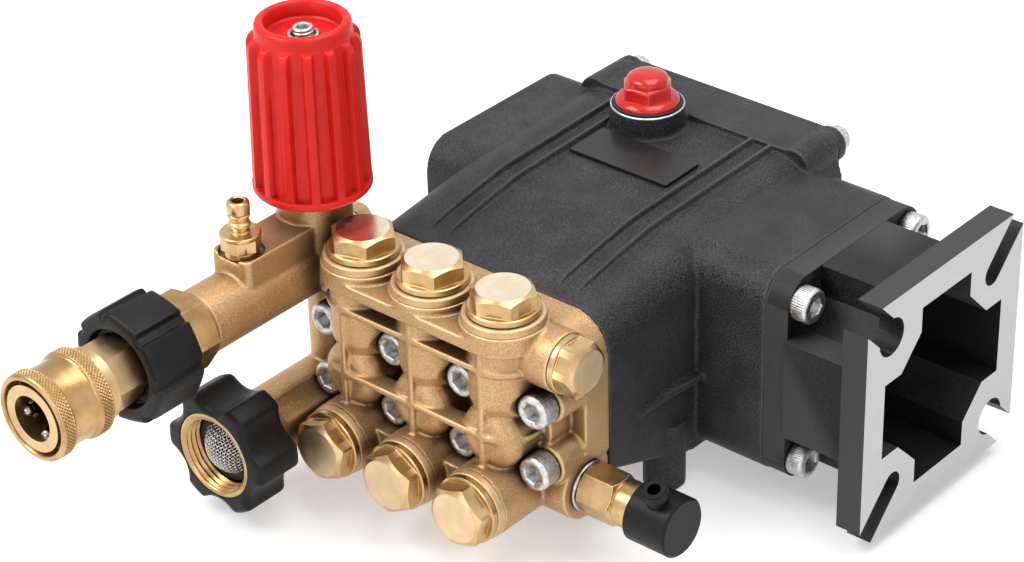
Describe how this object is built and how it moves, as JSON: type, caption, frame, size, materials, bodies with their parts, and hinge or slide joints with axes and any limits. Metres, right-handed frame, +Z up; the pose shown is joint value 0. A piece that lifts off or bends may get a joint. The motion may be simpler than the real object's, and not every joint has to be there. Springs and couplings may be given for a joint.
{
  "type": "pressure washer pump",
  "caption": "Triplex plunger pump for a pressure washer: brass head with unloader knob, hose inlet and quick coupler, on a black crankcase with a square engine flange.",
  "frame": {"origin": "centre of the engine flange's mounting face, on the crank axis", "axes": "+X out of the engine flange towards the engine, -Y towards the manifold and outlets, +Z up"},
  "size_m": [0.2165, 0.311, 0.1758],
  "materials": {
    "case_black": "black powder coated aluminium casting",
    "gasket": "flat gasket",
    "zinc_screws": "zinc plated steel",
    "seal_rubber": "black rubber",
    "red_plastic": "red moulded plastic",
    "nameplate": "dark plate, bare",
    "sight_glass": "clear window",
    "bearing_steel": "ground steel",
    "shaft_steel": "machined steel",
    "rod_aluminium": "die cast aluminium",
    "ceramic": "glossy white ceramic",
    "cast_brass": "sand blasted brass casting",
    "bright_brass": "machined brass",
    "valve_steel": "stainless steel",
    "black_plastic": "black moulded plastic",
    "filter_mesh": "woven wire"
  },
  "bodies": {
    "pump": {"crankcase": "case_black", "rear_cover": "case_black", "case_gaskets": "gasket", "rear_cover_screws": "zinc_screws", "engine_adaptor": "case_black", "adaptor_screws": "zinc_screws", "shaft_seal": "seal_rubber", "oil_seals": "seal_rubber", "oil_fill_cap": "red_plastic", "nameplate": "nameplate", "sight_glass": "sight_glass", "drain_plug": "zinc_screws", "bearing_outer_rings": "bearing_steel", "manifold": "cast_brass", "manifold_screws": "zinc_screws", "valve_caps": "bright_brass", "cap_seals": "seal_rubber", "valve_seats": "valve_steel", "valve_springs": "valve_steel", "packing_seals": "seal_rubber", "packing_rings": "bright_brass", "gallery_plugs": "bright_brass", "unloader_gland": "bright_brass", "unloader_spring": "valve_steel", "injector_barb": "bright_brass", "outlet_adapter": "bright_brass", "coupler_tail": "bright_brass", "coupler_body": "bright_brass", "coupler_balls": "bearing_steel", "coupler_spring": "valve_steel", "coupler_clip": "valve_steel", "inlet_tail": "bright_brass", "inlet_filter": "filter_mesh", "thermal_valve_body": "bright_brass", "thermal_valve_cap": "black_plastic"},
    "crank": {"crankshaft": "shaft_steel", "bearing_inner_rings": "bearing_steel"},
    "rod_1": {"connecting_rod_1": "rod_aluminium"},
    "plunger_set_1": {"crosshead_1": "shaft_steel", "plunger_1": "ceramic"},
    "discharge_poppet_1": {"discharge_poppet_1": "valve_steel"},
    "inlet_poppet_1": {"inlet_poppet_1": "valve_steel"},
    "rod_2": {"connecting_rod_2": "rod_aluminium"},
    "plunger_set_2": {"crosshead_2": "shaft_steel", "plunger_2": "ceramic"},
    "discharge_poppet_2": {"discharge_poppet_2": "valve_steel"},
    "inlet_poppet_2": {"inlet_poppet_2": "valve_steel"},
    "rod_3": {"connecting_rod_3": "rod_aluminium"},
    "plunger_set_3": {"crosshead_3": "shaft_steel", "plunger_3": "ceramic"},
    "discharge_poppet_3": {"discharge_poppet_3": "valve_steel"},
    "inlet_poppet_3": {"inlet_poppet_3": "valve_steel"},
    "knob": {"knob": "red_plastic", "knob_screw": "zinc_screws"},
    "unloader_piston": {"unloader_piston": "valve_steel"},
    "handwheel": {"m22_handwheel": "black_plastic"},
    "hose_nut": {"hose_nut_cover": "black_plastic", "hose_nut_ring": "bright_brass"},
    "sleeve": {"coupler_sleeve": "bright_brass"}
  },
  "joints": [
    {"name": "crank_spin", "type": "hinge", "parent": "pump", "child": "crank", "pos_m": [-0.1335, 0, 0], "axis": [1, 0, 0], "continuous": true},
    {"name": "rod_1_pivot", "type": "hinge", "parent": "crank", "child": "rod_1", "pos_m": [-0.1655, 0, 0.0024], "axis": [1, 0, 0], "continuous": true},
    {"name": "rod_2_pivot", "type": "hinge", "parent": "crank", "child": "rod_2", "pos_m": [-0.1335, -0.00208, -0.0012], "axis": [1, 0, 0], "continuous": true},
    {"name": "rod_3_pivot", "type": "hinge", "parent": "crank", "child": "rod_3", "pos_m": [-0.1015, 0.00208, -0.0012], "axis": [1, 0, 0], "continuous": true},
    {"name": "plunger_1_stroke", "type": "slide", "parent": "pump", "child": "plunger_set_1", "axis": [0, 1, 0], "range_m": [-0.0024, 0.0024]},
    {"name": "plunger_2_stroke", "type": "slide", "parent": "pump", "child": "plunger_set_2", "axis": [0, 1, 0], "range_m": [-0.0024, 0.0024]},
    {"name": "plunger_3_stroke", "type": "slide", "parent": "pump", "child": "plunger_set_3", "axis": [0, 1, 0], "range_m": [-0.0024, 0.0024]},
    {"name": "discharge_valve_1", "type": "slide", "parent": "pump", "child": "discharge_poppet_1", "axis": [0, 0, 1], "range_m": [0, 0.0025], "stiffness_N_per_m": 400, "springref_m": -0.002, "deforming": ["valve_springs"]},
    {"name": "discharge_valve_2", "type": "slide", "parent": "pump", "child": "discharge_poppet_2", "axis": [0, 0, 1], "range_m": [0, 0.0025], "stiffness_N_per_m": 400, "springref_m": -0.002, "deforming": ["valve_springs"]},
    {"name": "discharge_valve_3", "type": "slide", "parent": "pump", "child": "discharge_poppet_3", "axis": [0, 0, 1], "range_m": [0, 0.0025], "stiffness_N_per_m": 400, "springref_m": -0.002, "deforming": ["valve_springs"]},
    {"name": "inlet_valve_1", "type": "slide", "parent": "pump", "child": "inlet_poppet_1", "axis": [0, -1, 0], "range_m": [0, 0.0025], "stiffness_N_per_m": 300, "springref_m": -0.002, "deforming": ["valve_springs"]},
    {"name": "inlet_valve_2", "type": "slide", "parent": "pump", "child": "inlet_poppet_2", "axis": [0, -1, 0], "range_m": [0, 0.0025], "stiffness_N_per_m": 300, "springref_m": -0.002, "deforming": ["valve_springs"]},
    {"name": "inlet_valve_3", "type": "slide", "parent": "pump", "child": "inlet_poppet_3", "axis": [0, -1, 0], "range_m": [0, 0.0025], "stiffness_N_per_m": 300, "springref_m": -0.002, "deforming": ["valve_springs"]},
    {"name": "pressure_knob", "type": "hinge", "parent": "pump", "child": "knob", "pos_m": [-0.193, -0.11, 0.09], "axis": [0, 0, 1], "range_deg": [-720, 720]},
    {"name": "unloader_lift", "type": "slide", "parent": "pump", "child": "unloader_piston", "axis": [0, 0, 1], "range_m": [0, 0.003], "stiffness_N_per_m": 4000, "springref_m": -0.002, "deforming": ["unloader_spring"]},
    {"name": "outlet_handwheel", "type": "hinge", "parent": "pump", "child": "handwheel", "pos_m": [-0.193, -0.1965, 0.031], "axis": [0, 1, 0], "continuous": true},
    {"name": "hose_nut_turn", "type": "hinge", "parent": "pump", "child": "hose_nut", "pos_m": [-0.193, -0.156, -0.0251], "axis": [0, 1, 0], "continuous": true},
    {"name": "coupler_sleeve_pull", "type": "slide", "parent": "pump", "child": "sleeve", "axis": [0, 1, 0], "range_m": [0, 0.004], "stiffness_N_per_m": 1500, "springref_m": -0.002, "deforming": ["coupler_spring"]}
  ],
  "couplings": [
    {"joint": "rod_1_pivot", "follows": "crank_spin", "ratio": -1},
    {"joint": "rod_2_pivot", "follows": "crank_spin", "ratio": -1},
    {"joint": "rod_3_pivot", "follows": "crank_spin", "ratio": -1}
  ]
}
